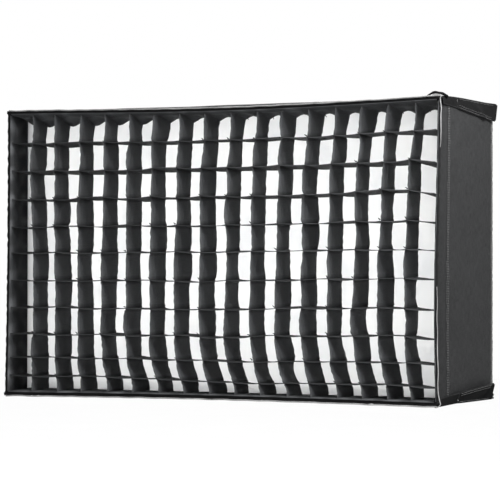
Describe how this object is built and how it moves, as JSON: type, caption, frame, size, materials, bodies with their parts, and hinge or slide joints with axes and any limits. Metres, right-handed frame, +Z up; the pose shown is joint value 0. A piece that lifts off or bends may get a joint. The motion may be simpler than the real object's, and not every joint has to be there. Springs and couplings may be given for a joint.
{
  "type": "strip softbox",
  "caption": "Rectangular fold-flat fabric softbox with a pull-out egg-crate grid, front diffuser, folding walls, hook-and-loop corner wings and rear holding tabs.",
  "frame": {"origin": "centre of the rear mouth, in the plane where the light panel's face meets the box", "axes": "+X right along the long side, +Y out of the rear mouth towards the light panel, +Z up; the front opening faces -Y"},
  "size_m": [0.7552, 0.2227, 0.4522],
  "materials": {
    "outer_fabric": "coated woven polyester, satin black",
    "wing_fabric": "woven polyester, black",
    "hem_elastic": "elastic webbing, black",
    "strap_webbing": "webbing, black",
    "grid_fabric": "folded nylon, matt black",
    "edge_piping": "corded piping, light grey",
    "loop_tape": "loop pile, black",
    "hook_tape": "hook tape, black",
    "diffuser_cloth": "translucent white polyester",
    "silver_lining": "metallised cloth, silver",
    "stiffener_board": "polypropylene board, black",
    "glass_fibre_rod": "pultruded glass fibre",
    "elbow_plastic": "moulded nylon, black"
  },
  "bodies": {
    "front_rim": {"top_rim_band": "outer_fabric", "top_rim_rod": "glass_fibre_rod", "top_edge_piping": "edge_piping", "top_rim_loop_tape": "loop_tape", "right_rim_band": "outer_fabric", "right_rim_rod": "glass_fibre_rod", "right_edge_piping": "edge_piping", "right_rim_loop_tape": "loop_tape", "bottom_rim_band": "outer_fabric", "bottom_rim_rod": "glass_fibre_rod", "bottom_edge_piping": "edge_piping", "bottom_rim_loop_tape": "loop_tape", "left_rim_band": "outer_fabric", "left_rim_rod": "glass_fibre_rod", "left_edge_piping": "edge_piping", "left_rim_loop_tape": "loop_tape", "top_right_rim_elbow": "elbow_plastic", "bottom_right_rim_elbow": "elbow_plastic", "bottom_left_rim_elbow": "elbow_plastic", "top_left_rim_elbow": "elbow_plastic"},
    "front_diffuser": {"diffuser_cloth": "diffuser_cloth", "diffuser_border": "diffuser_cloth", "diffuser_hook_tape": "hook_tape"},
    "grid": {"grid_strips": "grid_fabric", "grid_border": "grid_fabric", "grid_hook_tape": "hook_tape"},
    "top_wall": {"top_wall_cover": "outer_fabric", "top_wall_board": "stiffener_board", "top_wall_lining": "silver_lining", "top_rear_hem": "hem_elastic"},
    "right_wall": {"right_wall_cover": "outer_fabric", "right_wall_board": "stiffener_board", "right_wall_lining": "silver_lining", "right_rear_hem": "hem_elastic", "top_right_wing_loop_tape": "loop_tape", "bottom_right_wing_loop_tape": "loop_tape"},
    "bottom_wall": {"bottom_wall_cover": "outer_fabric", "bottom_wall_board": "stiffener_board", "bottom_wall_lining": "silver_lining", "bottom_rear_hem": "hem_elastic"},
    "left_wall": {"left_wall_cover": "outer_fabric", "left_wall_board": "stiffener_board", "left_wall_lining": "silver_lining", "left_rear_hem": "hem_elastic", "bottom_left_wing_loop_tape": "loop_tape", "top_left_wing_loop_tape": "loop_tape"},
    "top_right_wing": {"top_right_wing": "wing_fabric", "top_right_wing_hook_tape": "hook_tape"},
    "bottom_right_wing": {"bottom_right_wing": "wing_fabric", "bottom_right_wing_hook_tape": "hook_tape"},
    "bottom_left_wing": {"bottom_left_wing": "wing_fabric", "bottom_left_wing_hook_tape": "hook_tape"},
    "top_left_wing": {"top_left_wing": "wing_fabric", "top_left_wing_hook_tape": "hook_tape"},
    "top_left_holding_tab": {"top_left_holding_tab": "strap_webbing"},
    "top_right_holding_tab": {"top_right_holding_tab": "strap_webbing"},
    "bottom_left_holding_tab": {"bottom_left_holding_tab": "strap_webbing"},
    "bottom_right_holding_tab": {"bottom_right_holding_tab": "strap_webbing"}
  },
  "joints": [
    {"name": "diffuser_pull_out", "type": "slide", "parent": "front_rim", "child": "front_diffuser", "axis": [0, -1, 0], "range_m": [0, 0.12]},
    {"name": "grid_pull_out", "type": "slide", "parent": "front_diffuser", "child": "grid", "axis": [0, -1, 0], "range_m": [0, 0.12]},
    {"name": "top_wall_fold", "type": "hinge", "parent": "front_rim", "child": "top_wall", "pos_m": [0, -0.157, 0.225], "axis": [1, 0, 0], "range_deg": [0, 90]},
    {"name": "bottom_wall_fold", "type": "hinge", "parent": "front_rim", "child": "bottom_wall", "pos_m": [0, -0.157, -0.225], "axis": [-1, 0, 0], "range_deg": [0, 90]},
    {"name": "right_wall_fold", "type": "hinge", "parent": "front_rim", "child": "right_wall", "pos_m": [0.3643, -0.157, 0], "axis": [0, 0, 1], "range_deg": [0, 90]},
    {"name": "left_wall_fold", "type": "hinge", "parent": "front_rim", "child": "left_wall", "pos_m": [-0.3643, -0.157, 0], "axis": [0, 0, -1], "range_deg": [0, 90]},
    {"name": "top_right_wing_hinge", "type": "hinge", "parent": "top_wall", "child": "top_right_wing", "pos_m": [0.3701, -0.08, 0.225], "axis": [0, -1, 0], "range_deg": [0, 135]},
    {"name": "bottom_right_wing_hinge", "type": "hinge", "parent": "bottom_wall", "child": "bottom_right_wing", "pos_m": [0.3701, -0.08, -0.225], "axis": [0, 1, 0], "range_deg": [-14, 121]},
    {"name": "bottom_left_wing_hinge", "type": "hinge", "parent": "bottom_wall", "child": "bottom_left_wing", "pos_m": [-0.3701, -0.08, -0.225], "axis": [0, -1, 0], "range_deg": [-14, 121]},
    {"name": "top_left_wing_hinge", "type": "hinge", "parent": "top_wall", "child": "top_left_wing", "pos_m": [-0.3701, -0.08, 0.225], "axis": [0, 1, 0], "range_deg": [0, 135]},
    {"name": "top_left_holding_tab_hinge", "type": "hinge", "parent": "top_wall", "child": "top_left_holding_tab", "pos_m": [-0.205, 0, 0.225], "axis": [1, 0, 0], "range_deg": [0, 180]},
    {"name": "top_right_holding_tab_hinge", "type": "hinge", "parent": "top_wall", "child": "top_right_holding_tab", "pos_m": [0.205, 0, 0.225], "axis": [1, 0, 0], "range_deg": [0, 180]},
    {"name": "bottom_left_holding_tab_hinge", "type": "hinge", "parent": "bottom_wall", "child": "bottom_left_holding_tab", "pos_m": [-0.205, 0, -0.225], "axis": [-1, 0, 0], "range_deg": [0, 180]},
    {"name": "bottom_right_holding_tab_hinge", "type": "hinge", "parent": "bottom_wall", "child": "bottom_right_holding_tab", "pos_m": [0.205, 0, -0.225], "axis": [-1, 0, 0], "range_deg": [0, 180]}
  ]
}
